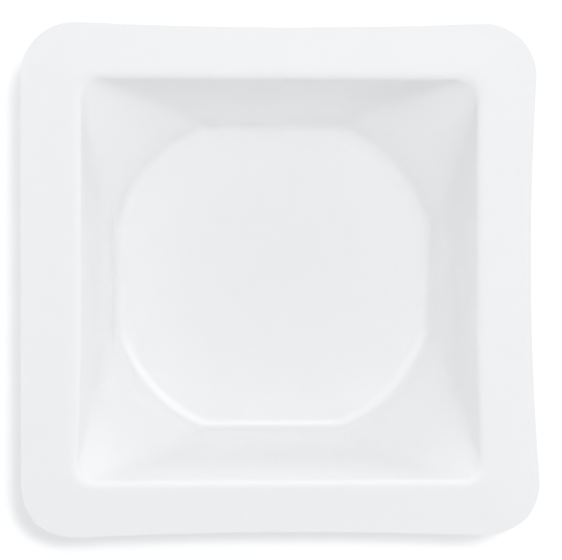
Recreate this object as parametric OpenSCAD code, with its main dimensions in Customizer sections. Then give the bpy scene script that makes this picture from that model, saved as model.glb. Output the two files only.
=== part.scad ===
// Square weighing boat, formed in one piece from a thin plastic sheet.
// Its floor is a circle cut flat on four sides. Four flat walls rise from those flats to a square mouth,
// and four cone-like facets rise from the arcs between them to the mouth's corners.
// A wide flange runs round the mouth. Its edges have drawn in, and its rim has dropped, a little as the sheet cooled.

/* [Flange] */
// Width of the flange across its corners, left to right
flange_w = 89; // [82:0.5:110]
// Depth of the flange across its corners, front to back
flange_d = 88.6; // [82:0.5:110]
// Radius of the flange's corners
flange_corner_r = 9.2; // [4:0.1:16]

/* [Mouth] */
// Width between the side walls, where their planes meet the flange's top face
mouth_w = 68.7; // [62:0.1:76]
// Depth between the front and back walls, where their planes meet the flange's top face
mouth_d = 69.4; // [62:0.1:76]
// Radius of the mouth's corners, where the facets meet the flange's top face
mouth_corner_r = 3.2; // [2:0.1:10]
// Rounding of the edge between the flange and the well
mouth_edge_r = 2.4; // [0.8:0.1:3]

/* [Well] */
// Height of the boat, from what it stands on to the flange's top face
boat_h = 25; // [15:0.5:35]
// Width of the floor between its side flats, where the planes of floor and walls meet
floor_w = 56.4; // [53:0.2:58]
// Depth of the floor between its front and back flats
floor_d = 54.2; // [53:0.2:58]
// Diameter of the floor across its arcs, where the planes of floor and facets meet
floor_round_d = 58.6; // [58:0.2:62]
// Rounding between the floor and a wall
wall_foot_r = 1.8; // [0.8:0.1:3]
// Rounding between the floor and a facet
facet_foot_r = 4.1; // [2:0.1:5]
// Rounding of the crease between a wall and a facet
crease_r = 4; // [1:0.5:5]

/* [Sheet] */
// Thickness of the sheet at the flange, where it isn't drawn
flange_t = 0.3; // [0.2:0.01:0.6]
// Thickness of the drawn sheet at the floor
floor_t = 0.2; // [0.15:0.01:0.6]

/* [Shrinkage] */
// How far the middle of the right edge has drawn in
bow_right = 1.7; // [0:0.1:3]
// How far the middle of the back edge has drawn in
bow_back = 0.8; // [0:0.1:3]
// How far the middle of the front edge has drawn in
bow_front = 0.8; // [0:0.1:3]
// How far the flange's front right corner stands out to the right
corner_flare = 0.6; // [0:0.1:2]
// How far the mouth's front corners stand out to the sides
mouth_flare = 0.8; // [0:0.1:2]
// How far the flange's rim has dropped below its inner edge
flange_droop = 0.4; // [0:0.1:1]

/* [Hidden] */

// Faces across one wall, round one corner, up each rounded edge, up the wall and across the flange
WALL_STEPS = 8;
CORNER_STEPS = 18;
FOOT_STEPS = 7;
WALL_ROWS = 5;
MOUTH_EDGE_STEPS = 6;
FLANGE_STEPS = 3;
// The largest share of a corner's radius that its creases may take
CREASE_SHARE = 0.8;

// The height of the flange's top face above the floor's
rise = boat_h - floor_t;
// Half the size of the floor and of the mouth, as a mean of width and depth
floor_half = (floor_w + floor_d) / 4;
mouth_half = (mouth_w + mouth_d) / 4;
// How far the floor's arc and the mouth's corner arc lie from the middle, on the diagonal
floor_diagonal = floor_round_d / 2;
mouth_diagonal = (mouth_half - mouth_corner_r) * sqrt(2) + mouth_corner_r;
// Half the length of the floor's flats and of the straight parts of the mouth's sides
floor_flat = sqrt(pow(floor_diagonal, 2) - pow(floor_half, 2));
mouth_flat = mouth_half - mouth_corner_r;
// How far the centre of the mouth's corner arc lies to the right of the diagonal, and as far to the front
mouth_skew = (mouth_w - mouth_d) / 4;
// How far each edge has drawn in, in the order right, back, left, front
edge_bow = [bow_right, bow_back, 0, bow_front];

// ---- Sections ----

function between(a, b, share) = a + (b - a) * share;

// The angle of a straight side that runs out from base to top over the rise
function slope(base, top) = atan2(rise, top - base);

// How far out a side lies at height z: a straight line, rounded into the floor below and the flange above
function side_at(z, base, top, foot_r) =
    let (
        a = slope(base, top),
        u = rise - z
    )
    z < foot_r * (1 - cos(a)) ?
        base - foot_r * tan(a / 2) + sqrt(z * (2 * foot_r - z))
    : u < mouth_edge_r * (1 - cos(a)) ?
        top + mouth_edge_r * tan(a / 2) - sqrt(u * (2 * mouth_edge_r - u))
    : base + (top - base) * z / rise;

// ---- Outlines ----

// An outline is [half width, half depth, centre of the corner arc, radius of the corner arc].
function tangent_outline(w, d, r) = [w, d, [w - r, d - r], r];

// The well's outline at height z above the floor. Leave out the rounded edges, and a facet's arc runs from the
// end of one wall, over the facet's own distance on the diagonal, to the end of the next wall. These three points
// fix the arc's centre, and as the walls' ends move evenly from the floor's flats to the mouth's corners, the
// creases are straight. The rounded edges then change only how far the walls and the arc reach.
function well_outline(z) =
    let (
        share = z / rise,
        half = between(floor_half, mouth_half, share),
        flat = between(floor_flat, mouth_flat, share),
        diagonal = between(floor_diagonal, mouth_diagonal, share),
        c = (half * half + flat * flat - diagonal * diagonal) / (2 * (half + flat - sqrt(2) * diagonal)),
        centre = [c + mouth_skew * share, c - mouth_skew * share],
        r = side_at(z, floor_diagonal, mouth_diagonal, facet_foot_r) - sqrt(2) * c,
        w = side_at(z, floor_w / 2, mouth_w / 2, wall_foot_r),
        d = side_at(z, floor_d / 2, mouth_d / 2, wall_foot_r)
    )
    [min(w, centre.x + r), min(d, centre.y + r), centre, r];

// An outline as seen from the next wall, which swaps width and depth
function swapped(o) = [o[1], o[0], [o[2].y, o[2].x], o[3]];

function direction(angle) = [cos(angle), sin(angle)];

// A point of an outline's right wall (angle 0, side from -1 to 1) or of its first corner (side 1, angle to 90)
function outline_point(o, side, angle) =
    let (
        c = o[2],
        r = o[3],
        k = min(crease_r, CREASE_SHARE * r),
        from = acos(min(1, (o[0] - k - c.x) / (r - k))),
        to = asin(min(1, (o[1] - k - c.y) / (r - k)))
    )
    angle <= from ? [o[0] - k, side * (c.y + (r - k) * sin(from))] + k * direction(angle)
    : angle < to ? c + r * direction(angle)
    : [c.x + (r - k) * cos(to), o[1] - k] + k * direction(angle);

function quarter_turns(p, q) = q == 0 ? p : quarter_turns([-p.y, p.x], q - 1);

// Where each column of the mesh lies: [quarter, side, angle], one wall and one corner after another
columns = [
    for (q = [0:3]) each [
        for (i = [0:WALL_STEPS - 1]) [q, 2 * i / WALL_STEPS - 1, 0],
        for (i = [0:CORNER_STEPS - 1]) [q, 1, 90 * i / CORNER_STEPS]
    ]
];
N = len(columns);

// An outline's points, one for each column
function ring(o) = [
    for (c = columns)
        quarter_turns(outline_point(c[0] % 2 == 0 ? o : swapped(o), c[1], c[2]), c[0])
];

// ---- Shrinkage ----

// The mouth spreads to the sides towards its front corners, and the floor keeps its shape.
function spread(p, z) =
    [p.x + mouth_flare * (2 * p.x / mouth_w) * pow(max(0, -2 * p.y / mouth_d), 2) * z / rise, p.y];

// The flange's outer edge at one column: each edge bows in between its corners, and one corner flares out.
function shrunk_edge(p, column) =
    let (
        q = column[0],
        side = column[1],
        angle = column[2],
        bow = edge_bow[q] * (1 - side * side),
        flare = q == 0 && angle == 0 ? pow((1 - side) / 2, 2) : q == 3 ? pow(sin(angle), 2) : 0
    )
    p - bow * quarter_turns([1, 0], q) + [corner_flare * flare, 0];

// ---- The sheet ----

// The heights of the rows up the well, from the floor's edge to the flange's inner edge
steepest = max(slope(floor_w / 2, mouth_w / 2), slope(floor_d / 2, mouth_d / 2));
foot = wall_foot_r * (1 - cos(steepest));
facet_foot = facet_foot_r * (1 - cos(slope(floor_diagonal, mouth_diagonal)));
wall_start = max(foot, facet_foot);
brow = rise - mouth_edge_r * (1 - cos(steepest));
heights = [
    for (i = [0:FOOT_STEPS]) wall_foot_r * (1 - cos(steepest * i / FOOT_STEPS)),
    for (i = [wall_start > foot ? 0 : 1:WALL_ROWS - 1]) wall_start + (brow - wall_start) * i / WALL_ROWS,
    for (i = [0:MOUTH_EDGE_STEPS])
        rise - mouth_edge_r * (1 - cos(steepest * (1 - i / MOUTH_EDGE_STEPS)))
];

well_rows = [for (z = heights) [for (p = ring(well_outline(z))) let (s = spread(p, z)) [s.x, s.y, z + floor_t]]];
inner_edge = well_rows[len(well_rows) - 1];
plain_edge = ring(tangent_outline(flange_w / 2, flange_d / 2, flange_corner_r));
outer_edge = [
    for (j = [0:N - 1]) let (p = shrunk_edge(plain_edge[j], columns[j])) [p.x, p.y, boat_h - flange_droop]
];
flange_rows = [
    for (i = [1:FLANGE_STEPS])
        [for (j = [0:N - 1]) inner_edge[j] + (outer_edge[j] - inner_edge[j]) * i / FLANGE_STEPS]
];

// The top face of the sheet, row by row from the floor outwards
top_face = concat(well_rows, flange_rows);
ROWS = len(top_face);

// The top face's normal at a row and column. The floor is level, and the flange is taken as level.
function normal(i, j) =
    i == 0 || i >= len(well_rows) - 1 ? [0, 0, 1]
    : let (
        outwards = top_face[i + 1][j] - top_face[i - 1][j],
        along = top_face[i][(j + 1) % N] - top_face[i][(j + N - 1) % N],
        n = cross(outwards, along)
    )
    n / norm(n);

// The sheet is thinner the deeper it was drawn.
function thickness(z) = floor_t + (flange_t - floor_t) * (z - floor_t) / rise;

bottom_face = [
    for (i = [0:ROWS - 1])
        [for (j = [0:N - 1]) top_face[i][j] - thickness(top_face[i][j].z) * normal(i, j)]
];

// The two triangles between four points of the mesh, numbered clockwise as seen from outside
function two_triangles(a, b, c, d) = [[a, b, c], [a, c, d]];

// The mesh's points: the top face's, the bottom face's, then the middle of the floor above and below
points = concat(
    [for (row = top_face) each row],
    [for (row = bottom_face) each row],
    [[0, 0, floor_t], [0, 0, 0]]
);
function top_index(i, j) = i * N + j % N;
function bottom_index(i, j) = (ROWS + i) * N + j % N;
top_middle = 2 * ROWS * N;
bottom_middle = top_middle + 1;

module weighing_boat() {
    faces = [
        for (j = [0:N - 1]) [top_middle, top_index(0, j + 1), top_index(0, j)],
        for (j = [0:N - 1]) [bottom_middle, bottom_index(0, j), bottom_index(0, j + 1)],
        for (i = [0:ROWS - 2], j = [0:N - 1]) each concat(
            two_triangles(top_index(i, j), top_index(i, j + 1), top_index(i + 1, j + 1), top_index(i + 1, j)),
            two_triangles(bottom_index(i + 1, j), bottom_index(i + 1, j + 1), bottom_index(i, j + 1),
                bottom_index(i, j))
        ),
        for (j = [0:N - 1]) each two_triangles(
            top_index(ROWS - 1, j), top_index(ROWS - 1, j + 1),
            bottom_index(ROWS - 1, j + 1), bottom_index(ROWS - 1, j)
        )
    ];
    color("whitesmoke") polyhedron(points = points, faces = faces, convexity = 4);
}

weighing_boat();
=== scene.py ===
# %% [markdown]
# # A weighing boat
#
# A weighing boat is a shallow square dish that a laboratory puts on its balance to weigh powders. It is
# pressed from one thin sheet of white polystyrene, so the whole object is a single skin: a flat flange, a
# mouth with rolled edges, four flat walls, and a floor that is a circle cut flat on four sides.
#
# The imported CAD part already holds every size. This lesson gives it a finer skin and a finish. It builds
# the skin with Geometry Nodes, because the shape follows one rule from the floor to the flange, and a
# rule is easier to read and to change as a tree with named sizes than as a list of points.

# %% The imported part
import math

import bpy
from mathutils import Matrix, Vector


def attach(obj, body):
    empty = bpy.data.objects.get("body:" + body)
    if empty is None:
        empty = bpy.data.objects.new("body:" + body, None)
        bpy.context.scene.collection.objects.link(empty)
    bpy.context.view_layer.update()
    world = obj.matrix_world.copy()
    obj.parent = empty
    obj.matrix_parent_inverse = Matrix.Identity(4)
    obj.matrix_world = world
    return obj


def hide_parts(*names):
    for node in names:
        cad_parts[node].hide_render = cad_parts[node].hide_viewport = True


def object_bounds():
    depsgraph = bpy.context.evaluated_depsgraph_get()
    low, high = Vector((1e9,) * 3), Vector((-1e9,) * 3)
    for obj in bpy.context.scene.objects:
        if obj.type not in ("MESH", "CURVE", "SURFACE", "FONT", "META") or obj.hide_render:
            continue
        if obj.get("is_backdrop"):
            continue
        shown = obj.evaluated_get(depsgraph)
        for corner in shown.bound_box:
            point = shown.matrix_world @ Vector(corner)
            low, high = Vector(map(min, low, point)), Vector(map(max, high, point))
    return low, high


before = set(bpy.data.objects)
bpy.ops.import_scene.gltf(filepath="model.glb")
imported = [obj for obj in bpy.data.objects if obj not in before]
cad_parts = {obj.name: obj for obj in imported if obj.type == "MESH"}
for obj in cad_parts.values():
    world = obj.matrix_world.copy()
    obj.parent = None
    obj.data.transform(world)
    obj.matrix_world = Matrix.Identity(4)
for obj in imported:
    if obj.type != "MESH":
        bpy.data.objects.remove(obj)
cad_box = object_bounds()
MM = 0.001
print("nodes:", sorted(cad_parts), "size in mm:", [round(v / MM, 1) for v in cad_box[1] - cad_box[0]])

# %% [markdown]
# ## The sizes
#
# All sizes are in millimetres, and they are the ones that the CAD part was drawn with, but for two that
# this finer skin takes closer: the foot of the four walls is rounded with 3 mm here and 1.8 mm there, and
# the right edge draws in by 1.1 mm here and 1.7 mm there. The floor and the mouth are given where the
# flat faces would meet if no edge were rounded, as a mould maker measures them. The bows and flares say
# how the flange drew in as the sheet cooled.

# %% The sizes in millimetres
SIZES = {
    "Flange width": 89.0, "Flange depth": 88.6, "Flange corner radius": 9.2,
    "Mouth width": 68.7, "Mouth depth": 69.4, "Mouth corner radius": 3.2, "Mouth edge radius": 2.4,
    "Boat height": 25.0,
    "Floor width": 56.4, "Floor depth": 54.2, "Floor diameter": 58.6,
    "Wall foot radius": 3.0, "Facet foot radius": 4.1, "Crease radius": 4.0,
    "Flange sheet": 0.3, "Floor sheet": 0.2,
    "Right bow": 1.1, "Back bow": 0.8, "Front bow": 0.8, "Corner flare": 0.6, "Mouth flare": 0.8,
    "Flange droop": 0.4,
}
print(len(SIZES), "sizes")

# %% [markdown]
# ## One helper
#
# A node tree is a list of nodes and the links between their sockets. This one helper adds any kind of node,
# sets its settings and fills its sockets. A socket takes a number, or the node whose first output feeds it.

# %% A helper that adds a node
def add(tree, kind, sockets=(), **settings):
    """Adds a node. Its sockets are a list, or a dictionary by name, of numbers, nodes and outputs."""
    node = tree.nodes.new(kind)
    for name, value in settings.items():
        setattr(node, name, value)
    pairs = sockets.items() if isinstance(sockets, dict) else enumerate(sockets)
    for name, value in pairs:
        socket = node.inputs[name]
        if not socket.enabled:
            socket = next(s for s in node.inputs if s.enabled and s.name == name)
        if isinstance(value, bpy.types.Node):
            value = next(out for out in value.outputs if out.enabled)
        if isinstance(value, bpy.types.NodeSocket):
            tree.links.new(value, socket)
        else:
            socket.default_value = value
    return node


def new_group(name, inputs, outputs):
    """A node group for numbers: the tree, what it is given and what it results in."""
    tree = bpy.data.node_groups.new(name, "GeometryNodeTree")
    for label in inputs:
        tree.interface.new_socket(label, in_out="INPUT", socket_type="NodeSocketFloat")
    for label in outputs:
        tree.interface.new_socket(label, in_out="OUTPUT", socket_type="NodeSocketFloat")
    return tree, tree.nodes.new("NodeGroupInput").outputs, tree.nodes.new("NodeGroupOutput").inputs


# the node that works out one sum, which all the trees use most
MATH = "ShaderNodeMath"
print("a helper for nodes and one for groups of them")

# %% [markdown]
# ## The section of a side
#
# Cut through a wall and you see a straight line that leans outwards, rounded into the floor at its foot
# and into the flange at its brow. At a height z the group gives how far out the side lies. Both roundings
# are quarter circles that stop where they touch the line, so each is a square root whose height is held
# at its end.

# %% The section of a side
side, given, result = new_group(
    "Side of the well",
    ["Base", "Top", "Rise", "Foot radius", "Brow radius", "Height"], ["Side"])
run = add(side, MATH, [given["Top"], given["Base"]], operation="SUBTRACT")
lean = add(side, MATH, [given["Rise"], run], operation="ARCTAN2")
cos_lean = add(side, MATH, [lean], operation="COSINE")
turn = add(side, MATH, [1.0, cos_lean], operation="SUBTRACT")
foot_top = add(side, MATH, [given["Foot radius"], turn], operation="MULTIPLY")
brow_drop = add(side, MATH, [given["Brow radius"], turn], operation="MULTIPLY")
print("lean:", len(side.nodes), "nodes")

# %% Its two roundings
arcs = []
below = add(side, MATH, [given["Rise"], given["Height"]], operation="SUBTRACT")
for radius, height, limit in (
    ("Foot radius", given["Height"], foot_top),
    ("Brow radius", below, brow_drop),
):
    held = add(side, MATH, [height, limit], operation="MINIMUM")
    held = add(side, MATH, [held, 0.0], operation="MAXIMUM")
    lowered = add(side, MATH, [held, -1.0], operation="MULTIPLY")
    rest = add(side, MATH, [given[radius], 2.0, lowered], operation="MULTIPLY_ADD")
    product = add(side, MATH, [held, rest], operation="MULTIPLY")
    arcs.append(add(side, MATH, [product], operation="SQRT"))
print(len(arcs), "roundings")

# %% Its straight, and the side put together
sin_lean = add(side, MATH, [lean], operation="SINE")
brow_start = add(side, MATH, [given["Rise"], brow_drop], operation="SUBTRACT")
straight_z = add(side, "ShaderNodeClamp", [given["Height"], foot_top, brow_start])
straight_z = add(side, MATH, [straight_z, foot_top], operation="SUBTRACT")
tan_lean = add(side, MATH, [lean], operation="TANGENT")
straight = add(side, MATH, [straight_z, tan_lean], operation="DIVIDE")
half_lean = add(side, MATH, [lean, 0.5], operation="MULTIPLY")
tan_half = add(side, MATH, [half_lean], operation="TANGENT")
inset = add(side, MATH, [given["Foot radius"], tan_half], operation="MULTIPLY")
start = add(side, MATH, [given["Base"], inset], operation="SUBTRACT")
out_foot = add(side, MATH, [start, arcs[0]], operation="ADD")
out_wall = add(side, MATH, [out_foot, straight], operation="ADD")
brow_reach = add(side, MATH, [given["Brow radius"], sin_lean], operation="MULTIPLY")
brow = add(side, MATH, [brow_reach, arcs[1]], operation="SUBTRACT")
side.links.new(add(side, MATH, [out_wall, brow], operation="ADD").outputs[0], result["Side"])
print("section:", len(side.nodes), "nodes")

# %% [markdown]
# ## The level curve
#
# Cut the well level and you see a rounded square: straight along each wall and round along each facet.
# The facet's arc has a centre on the diagonal, or a little beside it where the mouth is deeper than it is
# wide. A second, small circle rounds the crease between a wall and the arc. A point is found by the
# direction that its surface faces, from 0 at the right wall to 90 degrees at the back wall.

# %% The level curve
# the crease's circle keeps to this share of the arc's radius, so that some of the arc is always left
CREASE_SHARE = 0.8
level, given, result = new_group(
    "Level curve",
    ["Half width", "Half depth", "Diagonal", "Centre", "Skew", "Crease radius", "Facing"], ["X", "Y"])
radius = add(level, MATH, [given["Centre"], -math.sqrt(2), given["Diagonal"]], operation="MULTIPLY_ADD")
most = add(level, MATH, [radius, CREASE_SHARE], operation="MULTIPLY")
crease = add(level, MATH, [given["Crease radius"], most], operation="MINIMUM")
arc = add(level, MATH, [radius, crease], operation="SUBTRACT")
centre_x = add(level, MATH, [given["Centre"], given["Skew"]], operation="ADD")
centre_y = add(level, MATH, [given["Centre"], given["Skew"]], operation="SUBTRACT")
print("arc:", len(level.nodes), "nodes")

# %% Where the arc ends, and the point
ends = []
for half_size, middle, inverse in (
    (given["Half width"], centre_x, "ARCCOSINE"),
    (given["Half depth"], centre_y, "ARCSINE"),
):
    left = add(level, MATH, [half_size, crease], operation="SUBTRACT")
    left = add(level, MATH, [left, middle], operation="SUBTRACT")
    share = add(level, MATH, [left, arc], operation="DIVIDE")
    share = add(level, MATH, [share, 1.0], operation="MINIMUM")
    ends.append(add(level, MATH, [share], operation=inverse))
on_arc = add(level, "ShaderNodeClamp", [given["Facing"], ends[0], ends[1]])
for label, middle, trig in (("X", centre_x, "COSINE"), ("Y", centre_y, "SINE")):
    arc_way = add(level, MATH, [on_arc], operation=trig)
    own_way = add(level, MATH, [given["Facing"]], operation=trig)
    crease_centre = add(level, MATH, [arc, arc_way, middle], operation="MULTIPLY_ADD")
    point = add(level, MATH, [crease, own_way, crease_centre], operation="MULTIPLY_ADD")
    level.links.new(point.outputs[0], result[label])
print("level curve:", len(level.nodes), "nodes")

# %% [markdown]
# ## The skin
#
# One quarter of the boat is a flat grid first. Its columns run round the quarter, from the middle of the
# right wall to the middle of the back wall, and its rows run outwards over five zones: floor, foot, wall,
# brow and flange. The tree turns each grid point's column into a direction and its row into a height, and
# sets the point where the rules above put it. Two mirrors make the whole top face, but for a square in the
# floor's middle, where the columns would crowd: a second grid closes that. An extrusion gives the sheet its
# thickness.

# %% The grid's zones
# how many rows each zone takes
ZONES = {"floor": 8, "foot": 16, "wall": 24, "brow": 14, "flange": 14}
ROWS = sum(ZONES.values())
COLUMNS = 100
# each of the two straight sides takes this share of the columns, and the facet between them the rest
WALL_SHARE = 0.3
print(COLUMNS, "columns and", ROWS, "rows in a quarter")

# %% The tree and its inputs
skin = bpy.data.node_groups.new("Weighing boat skin", "GeometryNodeTree")
skin.interface.new_socket("Geometry", in_out="OUTPUT", socket_type="NodeSocketGeometry")
for label in SIZES:
    skin.interface.new_socket(label, in_out="INPUT", socket_type="NodeSocketFloat")
skin.interface.new_socket("Finish", in_out="INPUT", socket_type="NodeSocketMaterial")
given = skin.nodes.new("NodeGroupInput").outputs
print("inputs:", ", ".join(SIZES))

# %% The flat grid
grid = add(skin, "GeometryNodeMeshGrid", {
    "Size X": 1.0, "Size Y": 1.0,
    "Vertices X": COLUMNS + 1, "Vertices Y": ROWS + 1,
})
position = add(skin, "GeometryNodeInputPosition")
place = add(skin, "ShaderNodeSeparateXYZ", [position])
column = add(skin, MATH, [place.outputs["X"], 0.5], operation="ADD")
row = add(skin, MATH, [place.outputs["Y"], 0.5], operation="ADD")

zone, done = {}, 0
for name, count in ZONES.items():
    zone[name] = add(skin, "ShaderNodeMapRange", [row, done / ROWS, (done + count) / ROWS])
    done += count
facing = add(skin, "ShaderNodeMapRange", [column, WALL_SHARE, 1 - WALL_SHARE, 0.0, math.pi / 2])
along_y = add(skin, "ShaderNodeMapRange", [column, 0.0, WALL_SHARE])
along_x = add(skin, "ShaderNodeMapRange", [column, 1.0, 1 - WALL_SHARE])
print("skin so far:", len(skin.nodes), "nodes")

# %% Half sizes, the rise and the steepest lean
half = {}
for label in (
    "Flange width", "Flange depth", "Mouth width", "Mouth depth",
    "Floor width", "Floor depth", "Floor diameter",
):
    half[label] = add(skin, MATH, [given[label], 0.5], operation="MULTIPLY")
rise = add(skin, MATH, [given["Boat height"], given["Floor sheet"]], operation="SUBTRACT")
leans = []
for across in ("width", "depth"):
    run = add(skin, MATH, [half["Mouth " + across], half["Floor " + across]], operation="SUBTRACT")
    leans.append(add(skin, MATH, [rise, run], operation="ARCTAN2"))
steepest = add(skin, MATH, leans, operation="MAXIMUM")
print(len(half), "half sizes")


# %% The flat stretches at the floor and the mouth
def mean_of(first, second):
    """Half the sum of two values."""
    both = add(skin, MATH, [first, second], operation="ADD")
    return add(skin, MATH, [both, 0.5], operation="MULTIPLY")


floor_half = mean_of(half["Floor width"], half["Floor depth"])
mouth_half = mean_of(half["Mouth width"], half["Mouth depth"])
mouth_corner = given["Mouth corner radius"]
mouth_flat = add(skin, MATH, [mouth_half, mouth_corner], operation="SUBTRACT")
mouth_diagonal = add(skin, MATH, [mouth_flat, math.sqrt(2), mouth_corner], operation="MULTIPLY_ADD")
mouth_skew = add(skin, MATH, [half["Mouth width"], half["Mouth depth"]], operation="SUBTRACT")
mouth_skew = add(skin, MATH, [mouth_skew, 0.5], operation="MULTIPLY")
squares = [add(skin, MATH, [v, v], operation="MULTIPLY") for v in (half["Floor diameter"], floor_half)]
floor_flat = add(skin, MATH, squares, operation="SUBTRACT")
floor_flat = add(skin, MATH, [floor_flat], operation="SQRT")
print("skin so far:", len(skin.nodes), "nodes")


# %% The height of each row
def drop(radius, share):
    """The height of a rounding of that radius after that share of its turn."""
    angle = add(skin, MATH, [steepest, share], operation="MULTIPLY")
    cosine = add(skin, MATH, [angle], operation="COSINE")
    turn = add(skin, MATH, [1.0, cosine], operation="SUBTRACT")
    return add(skin, MATH, [radius, turn], operation="MULTIPLY")


foot = drop(given["Wall foot radius"], zone["foot"])
foot_whole = drop(given["Wall foot radius"], 1.0)
brow_whole = drop(given["Mouth edge radius"], 1.0)
brow_to_go = add(skin, MATH, [1.0, zone["brow"]], operation="SUBTRACT")
brow_left = drop(given["Mouth edge radius"], brow_to_go)
brow_done = add(skin, MATH, [brow_whole, brow_left], operation="SUBTRACT")
wall_rise = add(skin, MATH, [rise, foot_whole], operation="SUBTRACT")
wall_rise = add(skin, MATH, [wall_rise, brow_whole], operation="SUBTRACT")
height = add(skin, MATH, [wall_rise, zone["wall"], foot], operation="MULTIPLY_ADD")
height = add(skin, MATH, [height, brow_done], operation="ADD")
share = add(skin, MATH, [height, rise], operation="DIVIDE")
print("rows by height:", ", ".join(ZONES))

# %% The level curve of each row
sides = []
for base, top, foot_radius in (
    (half["Floor width"], half["Mouth width"], "Wall foot radius"),
    (half["Floor depth"], half["Mouth depth"], "Wall foot radius"),
    (half["Floor diameter"], mouth_diagonal, "Facet foot radius"),
):
    sides.append(add(skin, "GeometryNodeGroup", {
        "Base": base, "Top": top, "Rise": rise, "Foot radius": given[foot_radius],
        "Brow radius": given["Mouth edge radius"], "Height": height,
    }, node_tree=side))
print(len(sides), "sides of each row")

# %% The arc's centre in each row
# it follows from the three places where the unrounded walls and facet lie at this height
plain = add(skin, "ShaderNodeMapRange", [share, 0.0, 1.0, floor_half, mouth_half])
plain_flat = add(skin, "ShaderNodeMapRange", [share, 0.0, 1.0, floor_flat, mouth_flat])
plain_diagonal = add(skin, "ShaderNodeMapRange", [share, 0.0, 1.0, half["Floor diameter"], mouth_diagonal])
diagonal_square = add(skin, MATH, [plain_diagonal, plain_diagonal], operation="MULTIPLY")
over = add(skin, MATH, [plain, plain], operation="MULTIPLY")
over = add(skin, MATH, [plain_flat, plain_flat, over], operation="MULTIPLY_ADD")
over = add(skin, MATH, [over, diagonal_square], operation="SUBTRACT")
under = add(skin, MATH, [plain, plain_flat], operation="ADD")
under = add(skin, MATH, [plain_diagonal, -math.sqrt(2), under], operation="MULTIPLY_ADD")
centre = add(skin, MATH, [over, under], operation="DIVIDE")
centre = add(skin, MATH, [centre, 0.5], operation="MULTIPLY")
skew = add(skin, MATH, [share, mouth_skew], operation="MULTIPLY")
curve = add(skin, "GeometryNodeGroup", {
    "Half width": sides[0], "Half depth": sides[1], "Diagonal": sides[2],
    "Centre": centre, "Skew": skew, "Crease radius": given["Crease radius"], "Facing": facing,
}, node_tree=level)
print("skin so far:", len(skin.nodes), "nodes")

# %% Each point of a quarter
# the square in the floor's middle is this share of the floor's width
PATCH_SHARE = 0.5
patch_half = add(skin, MATH, [floor_half, PATCH_SHARE], operation="MULTIPLY")
coordinates = {}
for axis, trig, size, along, start in (
    ("X", "COSINE", "Flange width", along_x, 1.0),
    ("Y", "SINE", "Flange depth", along_y, 0.0),
):
    middle = add(skin, MATH, [half[size], given["Flange corner radius"]], operation="SUBTRACT")
    way = add(skin, MATH, [facing], operation=trig)
    outer = add(skin, MATH, [given["Flange corner radius"], way, middle], operation="MULTIPLY_ADD")
    between = add(skin, "ShaderNodeMapRange", [zone["flange"], 0.0, 1.0, curve.outputs[axis], outer])
    between = add(skin, MATH, [between, along], operation="MULTIPLY")
    patch_edge = add(skin, "ShaderNodeMapRange", [column, start, 0.5, 0.0, patch_half])
    coordinates[axis] = add(skin, "ShaderNodeMapRange", [zone["floor"], 0.0, 1.0, patch_edge, between])
height_above = add(skin, MATH, [height, given["Floor sheet"]], operation="ADD")
droop = add(skin, MATH, [given["Flange droop"], zone["flange"]], operation="MULTIPLY")
height_above = add(skin, MATH, [height_above, droop], operation="SUBTRACT")
point = add(skin, "ShaderNodeCombineXYZ", [coordinates["X"], coordinates["Y"], height_above])
quarter = add(skin, "GeometryNodeSetPosition", {"Geometry": grid, "Position": point})
print("skin so far:", len(skin.nodes), "nodes")

# %% Two mirrors
# points that are nearer than this are one point
TOUCHING = 0.001 * MM
whole = quarter
for mirror in ((-1.0, 1.0, 1.0), (1.0, -1.0, 1.0)):
    copy = add(skin, "GeometryNodeTransform", {"Geometry": whole, "Scale": mirror})
    copy = add(skin, "GeometryNodeFlipFaces", {"Mesh": copy})
    join = skin.nodes.new("GeometryNodeJoinGeometry")
    for part in (whole, copy):
        skin.links.new(part.outputs[0], join.inputs[0])
    whole = join
print("one quarter mirrored into four")

# %% The floor's middle
patch_size = add(skin, MATH, [patch_half, 2.0], operation="MULTIPLY")
patch = add(skin, "GeometryNodeMeshGrid", {
    "Size X": patch_size, "Size Y": patch_size,
    "Vertices X": COLUMNS + 1, "Vertices Y": COLUMNS + 1,
})
patch_height = add(skin, "ShaderNodeCombineXYZ", [0.0, 0.0, given["Floor sheet"]])
patch = add(skin, "GeometryNodeTransform", {"Geometry": patch, "Translation": patch_height})
patch = add(skin, "GeometryNodeFlipFaces", {"Mesh": patch})
skin.links.new(patch.outputs[0], whole.inputs[0])
surface = add(skin, "GeometryNodeMergeByDistance", {"Geometry": whole, "Distance": TOUCHING})
print("a grid of", COLUMNS, "by", COLUMNS, "squares in the floor's middle")

# %% [markdown]
# ## Soft creases
#
# A mould has crisp creases between its walls and its facets, but the warm sheet bridges them. Blurring
# the positions does that: each point moves to the mean of its neighbours, many times over, which leaves a
# flat face flat and makes a bend soft. It starts above the foot and stops below the brow.
#
# A blur also draws round forms in a little. A second blur draws them in by as much again, so that the
# step between the two, added back to the first, leaves the facets where they were.

# %% Where the creases are softened
# the softness fades in and out between these shares of the boat's height
FOOT_SHARES = (0.085, 0.2)
BROW_SHARES = (0.88, 0.93)
position = add(skin, "GeometryNodeInputPosition")
place = add(skin, "ShaderNodeSeparateXYZ", [position])
up = add(skin, MATH, [place.outputs["Z"], given["Boat height"]], operation="DIVIDE")
above_foot = add(skin, "ShaderNodeMapRange", [up, *FOOT_SHARES, 0.0, 1.0])
below_brow = add(skin, "ShaderNodeMapRange", [up, *BROW_SHARES, 1.0, 0.0])
softness = add(skin, MATH, [above_foot, below_brow], operation="MINIMUM")
print("soft from", FOOT_SHARES[0], "to", BROW_SHARES[1], "of the height")

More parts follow.
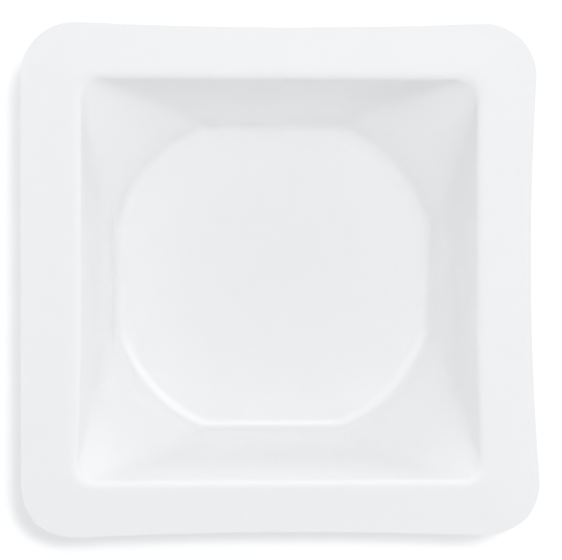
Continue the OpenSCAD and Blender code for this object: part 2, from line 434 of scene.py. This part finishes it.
# %% Soft creases
SOFTENING = 250
blurred = [position]
for _ in range(2):
    blur = {"Value": blurred[-1], "Iterations": SOFTENING, "Weight": softness}
    blurred.append(add(skin, "GeometryNodeBlurAttribute", blur, data_type="FLOAT_VECTOR"))
drawn_in = add(skin, "ShaderNodeVectorMath", [blurred[1], blurred[2]], operation="SUBTRACT")
soft = add(skin, "ShaderNodeVectorMath", [blurred[1], drawn_in], operation="ADD")
surface = add(skin, "GeometryNodeSetPosition", {"Geometry": surface, "Position": soft})
print("creases softened", SOFTENING, "times")

# %% [markdown]
# ## The shrinkage
#
# A flat flange cools faster than the drawn well, so its edges bow in between the corners. Each edge moves
# most at its middle and at its rim. The front right corner stands out instead, and the mouth spreads a
# little towards its two front corners.

# %% The shrinkage
position = add(skin, "GeometryNodeInputPosition")
place = add(skin, "ShaderNodeSeparateXYZ", [position])
x, y, z = place.outputs
moves = {"X": [], "Y": []}
# how far out over the flange a point lies: 0 at the mouth and 1 at the rim
reach = {}
for axis, value, across in (("X", x, "width"), ("Y", y, "depth")):
    size = add(skin, MATH, [value], operation="ABSOLUTE")
    reach[axis] = add(skin, "ShaderNodeMapRange", [size, half["Mouth " + across], half["Flange " + across]])
straight = {
    "X": add(skin, MATH, [half["Flange width"], given["Flange corner radius"]], operation="SUBTRACT"),
    "Y": add(skin, MATH, [half["Flange depth"], given["Flange corner radius"]], operation="SUBTRACT"),
}
print("reach along", " and ".join(reach))

# %% Three edges bow in
for axis, other, value, other_value, sign, label in (
    ("X", "Y", x, y, 1.0, "Right bow"),
    ("Y", "X", y, x, 1.0, "Back bow"),
    ("Y", "X", y, x, -1.0, "Front bow"),
):
    part = add(skin, MATH, [other_value, straight[other]], operation="DIVIDE")
    square = add(skin, MATH, [part, part], operation="MULTIPLY")
    bulge = add(skin, MATH, [1.0, square], operation="SUBTRACT")
    bulge = add(skin, MATH, [bulge, 0.0], operation="MAXIMUM")
    here = add(skin, MATH, [value, sign], operation="MULTIPLY")
    here = add(skin, MATH, [here, 0.0], operation="GREATER_THAN")
    amount = add(skin, MATH, [bulge, here], operation="MULTIPLY")
    amount = add(skin, MATH, [amount, reach[axis]], operation="MULTIPLY")
    amount = add(skin, MATH, [amount, given[label]], operation="MULTIPLY")
    moves[axis].append(add(skin, MATH, [amount, -sign], operation="MULTIPLY"))
print(sum(len(parts) for parts in moves.values()), "edges bow in")

# %% The corner and the mouth
# the right edge swings out more and more from the back to the front
edge_end = add(skin, MATH, [straight["Y"], -1.0], operation="MULTIPLY")
along = add(skin, "ShaderNodeMapRange", [y, straight["Y"], edge_end])
grown = add(skin, MATH, [along, along], operation="MULTIPLY")
right = add(skin, MATH, [x, 0.0], operation="GREATER_THAN")
flare = add(skin, MATH, [right, reach["X"]], operation="MULTIPLY")
flare = add(skin, MATH, [grown, flare], operation="MULTIPLY")
moves["X"].append(add(skin, MATH, [flare, given["Corner flare"]], operation="MULTIPLY"))
# the mouth spreads sideways, most at its front corners and not at all at the floor
front = add(skin, MATH, [y, -1.0], operation="MULTIPLY")
front = add(skin, MATH, [front, 0.0], operation="MAXIMUM")
front_mouth = add(skin, MATH, [front, half["Mouth depth"]], operation="DIVIDE")
front_mouth = add(skin, MATH, [front_mouth, front_mouth], operation="MULTIPLY")
out_share = add(skin, MATH, [x, half["Mouth width"]], operation="DIVIDE")
up_share = add(skin, MATH, [z, given["Boat height"]], operation="DIVIDE")
rim_share = add(skin, MATH, [reach["X"], reach["Y"]], operation="MAXIMUM")
inwards = add(skin, MATH, [1.0, rim_share], operation="SUBTRACT")
spread = add(skin, MATH, [front_mouth, out_share], operation="MULTIPLY")
spread = add(skin, MATH, [spread, up_share], operation="MULTIPLY")
spread = add(skin, MATH, [spread, inwards], operation="MULTIPLY")
moves["X"].append(add(skin, MATH, [spread, given["Mouth flare"]], operation="MULTIPLY"))
print(sum(len(parts) for parts in moves.values()), "moves in all")

# %% The moves together
sums = {}
for axis, parts in moves.items():
    sums[axis] = parts[0]
    for part in parts[1:]:
        sums[axis] = add(skin, MATH, [sums[axis], part], operation="ADD")
shift = add(skin, "ShaderNodeCombineXYZ", [sums["X"], sums["Y"], 0.0])
surface = add(skin, "GeometryNodeSetPosition", {"Geometry": surface, "Offset": shift})
print("skin so far:", len(skin.nodes), "nodes")

# %% The sheet's thickness
# all faces look down so far, so the extrusion goes down, and a copy that is flipped up is the top face
position = add(skin, "GeometryNodeInputPosition")
place = add(skin, "ShaderNodeSeparateXYZ", [position])
thin, full = given["Floor sheet"], given["Flange sheet"]
thickness = add(skin, "ShaderNodeMapRange", [place.outputs["Z"], thin, given["Boat height"], thin, full])
thick = add(skin, "GeometryNodeExtrudeMesh", {
    "Mesh": surface, "Offset Scale": thickness, "Individual": False,
})
top_face = add(skin, "GeometryNodeFlipFaces", {"Mesh": surface})
join = skin.nodes.new("GeometryNodeJoinGeometry")
for part in (thick, top_face):
    skin.links.new(part.outputs[0], join.inputs[0])
closed = add(skin, "GeometryNodeMergeByDistance", {"Geometry": join, "Distance": TOUCHING})
print("sheet of", SIZES["Floor sheet"], "to", SIZES["Flange sheet"], "mm")

# %% The cut edge and the finish
# the cut edge of the sheet folds by a right angle, and nothing else folds by more than this
SHARP_ANGLE = math.radians(40)
smooth = add(skin, "GeometryNodeSetShadeSmooth", {"Geometry": closed, "Shade Smooth": True})
fold = add(skin, "GeometryNodeInputMeshEdgeAngle")
sharp = add(skin, MATH, [fold.outputs["Unsigned Angle"], SHARP_ANGLE], operation="GREATER_THAN")
edged = add(skin, "GeometryNodeSetShadeSmooth", {
    "Geometry": smooth, "Selection": sharp, "Shade Smooth": False,
}, domain="EDGE")
real = add(skin, "GeometryNodeRealizeInstances", {"Geometry": edged})
finished = add(skin, "GeometryNodeSetMaterial", {"Geometry": real, "Material": given["Finish"]})
skin.links.new(finished.outputs[0], skin.nodes.new("NodeGroupOutput").inputs["Geometry"])
print("skin:", len(skin.nodes), "nodes")

# %% [markdown]
# ## Colours
#
# A colour is written as an sRGB hex value, as paint programs give it. Blender mixes light in linear
# values, so one function turns the one into the other.

# %% Colours
def linear(hex_colour):
    """An sRGB hex colour as the linear RGBA that Blender works in, by the sRGB standard's formula."""
    channels = [int(hex_colour[i:i + 2], 16) / 255 for i in (1, 3, 5)]
    return [c / 12.92 if c <= 0.04045 else ((c + 0.055) / 1.055) ** 2.4 for c in channels] + [1.0]


WHITE = linear("#FAFAFA")
print("white sheet:", [round(c, 3) for c in WHITE])

# %% [markdown]
# ## The polystyrene
#
# The sheet is impact polystyrene, white all through: rubber and pigment grains scatter the light inside
# it, so that so thin a sheet glows a little from its far side and its shadows stay soft. Subsurface
# scattering does the same. Its radius is about the sheet's own thickness, and the white leans a little to
# blue, as most white plastic does. A slow noise makes the white a touch uneven, as the pigment is.

# %% The white and its clouds
polystyrene = bpy.data.materials.new("white_polystyrene_sheet")
polystyrene.use_nodes = True
tree = polystyrene.node_tree
tree.nodes.clear()
CLOUD_SIZE = 5 * MM
BRIGHTER_WHITE = linear("#FCFCFE")
where = add(tree, "ShaderNodeTexCoord")
spot = where.outputs["Object"]
clouds = add(tree, "ShaderNodeTexNoise", {"Vector": spot, "Scale": 1 / CLOUD_SIZE, "Detail": 3.0})
white = add(tree, "ShaderNodeMix", {"Factor": clouds, "A": WHITE, "B": BRIGHTER_WHITE}, data_type="RGBA")
print("clouds of", CLOUD_SIZE / MM, "mm")

# %% [markdown]
# ## Satin and gloss
#
# The rollers that made the sheet left it satin, and the flange, which isn't drawn, keeps that. Forming
# stretches the sheet more the deeper it is drawn, and pulls its surface smooth, so that the foot of the
# walls is glossy. The roughness stays the satin's, and a coat, a second and smoother surface on the
# first, fades in down the wall.

# %% Satin and gloss
GLOSSY_UP_TO = 5 * MM
SATIN_FROM = 22 * MM
SATIN_COAT = 0.15
above_paper = add(tree, "ShaderNodeSeparateXYZ", [spot]).outputs["Z"]
gloss = add(tree, "ShaderNodeMapRange", [above_paper, GLOSSY_UP_TO, SATIN_FROM, 1.0, SATIN_COAT])
print("coat: full up to", GLOSSY_UP_TO / MM, "mm,", SATIN_COAT, "from", SATIN_FROM / MM, "mm")

# %% [markdown]
# ## Grain and waves
#
# Two patterns keep the surface from looking like glass. The rollers' grain is about 0.1 mm from peak to
# peak, which is too fine to show, so it is drawn at 0.5 mm. The formed sheet also waves very slightly
# where it cooled unevenly, over about 7 mm, and that makes the bright line along the foot waver.

# %% Grain and waves
GRAIN_SIZE = 0.5 * MM
GRAIN_HEIGHT = 0.006 * MM
WAVE_SIZE = 7 * MM
WAVE_HEIGHT = 0.06 * MM
waves = add(tree, "ShaderNodeTexNoise", {"Vector": spot, "Scale": 1 / WAVE_SIZE, "Detail": 1.0})
grain = add(tree, "ShaderNodeTexNoise", {"Vector": spot, "Scale": 1 / GRAIN_SIZE, "Detail": 2.0})
waved = add(tree, "ShaderNodeBump", {"Height": waves, "Distance": WAVE_HEIGHT})
grained = add(tree, "ShaderNodeBump", {"Height": grain, "Distance": GRAIN_HEIGHT, "Normal": waved})
print("waves of", WAVE_SIZE / MM, "mm and grain of", GRAIN_SIZE / MM, "mm")

# %% The surface
# polystyrene bends light by 1.59; the coat shines as much as that says, and the satin under it much less
SATIN_ROUGHNESS = 0.55
SATIN_SHINE = 0.2
COAT_ROUGHNESS = 0.17
POLYSTYRENE_IOR = 1.59
SCATTER_LENGTH = 0.22 * MM
shader = add(tree, "ShaderNodeBsdfPrincipled", {
    "Base Color": white, "Normal": grained,
    "Roughness": SATIN_ROUGHNESS, "IOR": POLYSTYRENE_IOR, "Specular IOR Level": SATIN_SHINE,
    "Coat Weight": gloss, "Coat Normal": grained,
    "Coat Roughness": COAT_ROUGHNESS, "Coat IOR": POLYSTYRENE_IOR,
    "Subsurface Weight": 1.0, "Subsurface Radius": (1.0, 1.0, 1.0), "Subsurface Scale": SCATTER_LENGTH,
})
add(tree, "ShaderNodeOutputMaterial", {"Surface": shader})
print(polystyrene.name, len(tree.nodes), "nodes")

# %% [markdown]
# ## The boat
#
# The tree goes as a modifier on an empty mesh, and its inputs are set by their identifiers, because two
# inputs could share a name. Then the result is copied into a plain mesh and the modifier goes, so that
# other programs, which can't run a tree, get the same shape. The object stays at the origin, and its
# place is in its mesh.

# %% The boat
boat = bpy.data.objects.new("boat", bpy.data.meshes.new("boat"))
bpy.context.scene.collection.objects.link(boat)
modifier = boat.modifiers.new("Skin", "NODES")
modifier.node_group = skin
for item in skin.interface.items_tree:
    if item.name in SIZES:
        modifier[item.identifier] = SIZES[item.name] * MM
    elif item.name == "Finish":
        modifier[item.identifier] = polystyrene
depsgraph = bpy.context.evaluated_depsgraph_get()
mesh = bpy.data.meshes.new_from_object(boat.evaluated_get(depsgraph))
boat.modifiers.clear()
boat.data = mesh
print("boat:", len(mesh.vertices), "points,", sum(len(p.vertices) - 2 for p in mesh.polygons), "triangles")

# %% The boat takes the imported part's place
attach(boat, "root")
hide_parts("weighing_boat")
print("boat rides on root and replaces weighing_boat")

# %% [markdown]
# ## The white paper
#
# The boat stands on a wide sheet of matt white paper. Lit as the boat is, the paper would come out light
# grey, so it glows a little to the eye alone: Light Path tells the rays that are seen, straight or in a
# reflection, from those that only carry light. So the boat gets no light from that glow, and the paper
# still takes its shadow. The lamps stand near the boat, so the glow grows outwards, where they no longer
# reach, and the paper stays white to its edge. Its fibres scatter light in every direction, as a diffuse
# shader does, and cloud it very slightly.

# %% A ray that is seen
def seen_ray(tree):
    """1 for a ray of the camera, a reflection or a see-through thing, 0 for one that only carries light."""
    path = add(tree, "ShaderNodeLightPath").outputs
    seen = add(tree, MATH, [path["Is Camera Ray"], path["Is Glossy Ray"]], operation="MAXIMUM")
    return add(tree, MATH, [seen, path["Is Transmission Ray"]], operation="MAXIMUM")


# %% The white paper
# the glow grows from NEAR_GLOW at NEAR to FAR_GLOW at FAR, both in metres from the boat's middle
FIBRE_SIZE = 1.5 * MM
PAPER_WHITE = linear("#EFEFEF")
FIBRE_WHITE = linear("#F1F1F1")
NEAR = 0.1
FAR = 0.8
NEAR_GLOW = 0.27
FAR_GLOW = 0.6
paper = bpy.data.materials.new("matt_white_paper")
paper.use_nodes = True
tree = paper.node_tree
tree.nodes.clear()
where = add(tree, "ShaderNodeTexCoord")
spot = where.outputs["Object"]
fibres = add(tree, "ShaderNodeTexNoise", {"Vector": spot, "Scale": 1 / FIBRE_SIZE, "Detail": 4.0})
shade = add(tree, "ShaderNodeMix", {"Factor": fibres, "A": PAPER_WHITE, "B": FIBRE_WHITE}, data_type="RGBA")
matt = add(tree, "ShaderNodeBsdfDiffuse", {"Color": shade})
away = add(tree, "ShaderNodeVectorMath", [spot], operation="LENGTH").outputs["Value"]
strength = add(tree, "ShaderNodeMapRange", [away, NEAR, FAR, NEAR_GLOW, FAR_GLOW])
strength = add(tree, MATH, [strength, seen_ray(tree)], operation="MULTIPLY")
glow = add(tree, "ShaderNodeEmission", {"Strength": strength})
add(tree, "ShaderNodeOutputMaterial", {"Surface": add(tree, "ShaderNodeAddShader", [matt, glow])})
print(paper.name, len(tree.nodes), "nodes")

# %% The floor
# the paper lies a hair under the boat, because two surfaces in one plane would fight for the same light
PAPER_HALF = 3.0
PAPER_DROP = 0.05 * MM
corners = [
    (x_side * PAPER_HALF, y_side * PAPER_HALF, -PAPER_DROP)
    for x_side, y_side in ((-1, -1), (1, -1), (1, 1), (-1, 1))
]
floor_mesh = bpy.data.meshes.new("floor")
floor_mesh.from_pydata(corners, [], [(0, 1, 2, 3)])
floor_mesh.materials.append(paper)
floor = bpy.data.objects.new("floor", floor_mesh)
bpy.context.scene.collection.objects.link(floor)
floor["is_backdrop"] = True
print("floor:", 2 * PAPER_HALF, "m square")

# %% [markdown]
# ## The light
#
# White on white shows its shape by soft shading alone, so the light comes from several sides. The world
# is a dim white room, which is white itself where it is seen. A small lamp nearly overhead, a little to
# the back right, lights the floor evenly and throws a narrow shadow to the left and the front. A softbox
# above it softens that shadow. Low softboxes and strips round the boat light its steep walls, which the
# lamp overhead hardly reaches.
#
# Two windows at the back are seen only in reflections: they make the bright line along the foot of the
# front wall and its two facets. A lamp's brightness is how bright its face is, so its power is pi times
# its area times that.

# %% The room
ROOM_LIGHT = 0.503
ROOM_COLOUR = linear("#F8FBFE")
world = bpy.data.worlds.new("white room")
bpy.context.scene.world = world
world.use_nodes = True
tree = world.node_tree
tree.nodes.clear()
dim = add(tree, "ShaderNodeBackground", {"Color": ROOM_COLOUR, "Strength": ROOM_LIGHT})
plain_white = add(tree, "ShaderNodeBackground", {"Color": linear("#FFFFFF"), "Strength": 1.0})
room = add(tree, "ShaderNodeMixShader", [seen_ray(tree), dim, plain_white])
add(tree, "ShaderNodeOutputWorld", {"Surface": room})
print("room light", ROOM_LIGHT)

# %% A lamp and its place
# the lamps face the middle of the well
MIDDLE = Vector((0.0, 0.0, 12.0)) * MM
print("lamps face a point", round(MIDDLE.z / MM), "mm above the paper")


def around(azimuth, elevation, distance):
    """A place round the boat: degrees counter-clockwise from its right side, degrees up, metres away."""
    turned = math.radians(azimuth)
    raised = math.radians(elevation)
    level_distance = distance * math.cos(raised)
    return Vector((
        level_distance * math.cos(turned),
        level_distance * math.sin(turned),
        distance * math.sin(raised),
    ))


def lamp(name, place, width, height, brightness):
    """A rectangular lamp at a place, facing the boat."""
    data = bpy.data.lights.new(name, "AREA")
    data.shape = "RECTANGLE"
    data.size = width
    data.size_y = height
    data.energy = math.pi * width * height * brightness
    light = bpy.data.objects.new(name, data)
    bpy.context.scene.collection.objects.link(light)
    light.location = place
    light.rotation_mode = "QUATERNION"
    light.rotation_quaternion = (MIDDLE - place).to_track_quat("-Z", "Y")
    return light


# %% Lamps that light
# each lamp's azimuth and elevation in degrees, its distance, width and height in metres, and its brightness
LAMPS = {
    "ceiling_lamp": (60, 82, 1.0, 0.11, 0.08, 100.0),
    "high_softbox": (75, 75, 1.0, 0.7, 0.35, 1.3),
    "right_softbox": (0, 18, 1.0, 0.7, 0.35, 0.88),
    "right_strip": (0, 6, 0.8, 1.2, 0.16, 0.9),
    "back_strip": (90, 6, 0.8, 1.2, 0.16, 2.4),
    "left_strip": (180, 6, 0.8, 1.2, 0.16, 1.2),
    "front_strip": (270, 6, 0.8, 1.2, 0.16, 0.2),
}
for name, (azimuth, elevation, distance, *face) in LAMPS.items():
    light = lamp(name, around(azimuth, elevation, distance), *face)
    light.visible_glossy = False
print(len(LAMPS), "lamps")

# %% Windows that shine
WINDOWS = {
    "right_window": (55, 38, 1.0, 1.1, 0.8, 1.4),
    "left_window": (125, 38, 1.0, 1.1, 0.8, 0.85),
}
for name, (azimuth, elevation, distance, *face) in WINDOWS.items():
    window = lamp(name, around(azimuth, elevation, distance), *face)
    window.visible_diffuse = False
print(len(WINDOWS), "windows")

# %% [markdown]
# ## The camera
#
# The camera looks almost straight down from half a metre, a little from the left and the back, so the
# walls at the right and the front show a touch wider. The lens follows from the width that the frame
# takes in where the flange lies. The camera's own right is kept level with the boat's, so that the boat
# stands straight in the frame.

# %% The camera
CAMERA_PLACE = Vector((-28.2, 7.5, 505.0)) * MM
CAMERA_AIM = Vector((0.11, 0.0, 25.0)) * MM
FRAME_WIDTH = 96.72 * MM
SENSOR_WIDTH = 36.0
back = CAMERA_PLACE - CAMERA_AIM
camera_data = bpy.data.cameras.new("camera")
camera_data.sensor_width = SENSOR_WIDTH
camera_data.lens = SENSOR_WIDTH * back.length / FRAME_WIDTH
back.normalize()
right = Vector((0, 1, 0)).cross(back).normalized()
up = back.cross(right)
camera = bpy.data.objects.new("camera", camera_data)
bpy.context.scene.collection.objects.link(camera)
axes = Matrix((right, up, back)).transposed()
camera.matrix_world = Matrix.Translation(CAMERA_PLACE) @ axes.to_4x4()
bpy.context.scene.camera = camera
bpy.context.scene.view_settings.view_transform = "Standard"
print("lens", round(camera_data.lens, 1), "mm")

# %% [markdown]
# ## The finish
#
# The box round the scene is printed beside the imported part's box, because a finer skin must not be a
# bigger part.

# %% Sizes and finish
scene_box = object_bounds()
for label, box in (("packed part", cad_box), ("scene", scene_box)):
    low, high = ([round(v / MM, 2) for v in corner] for corner in box)
    print(label, "from", low, "to", high, "mm")
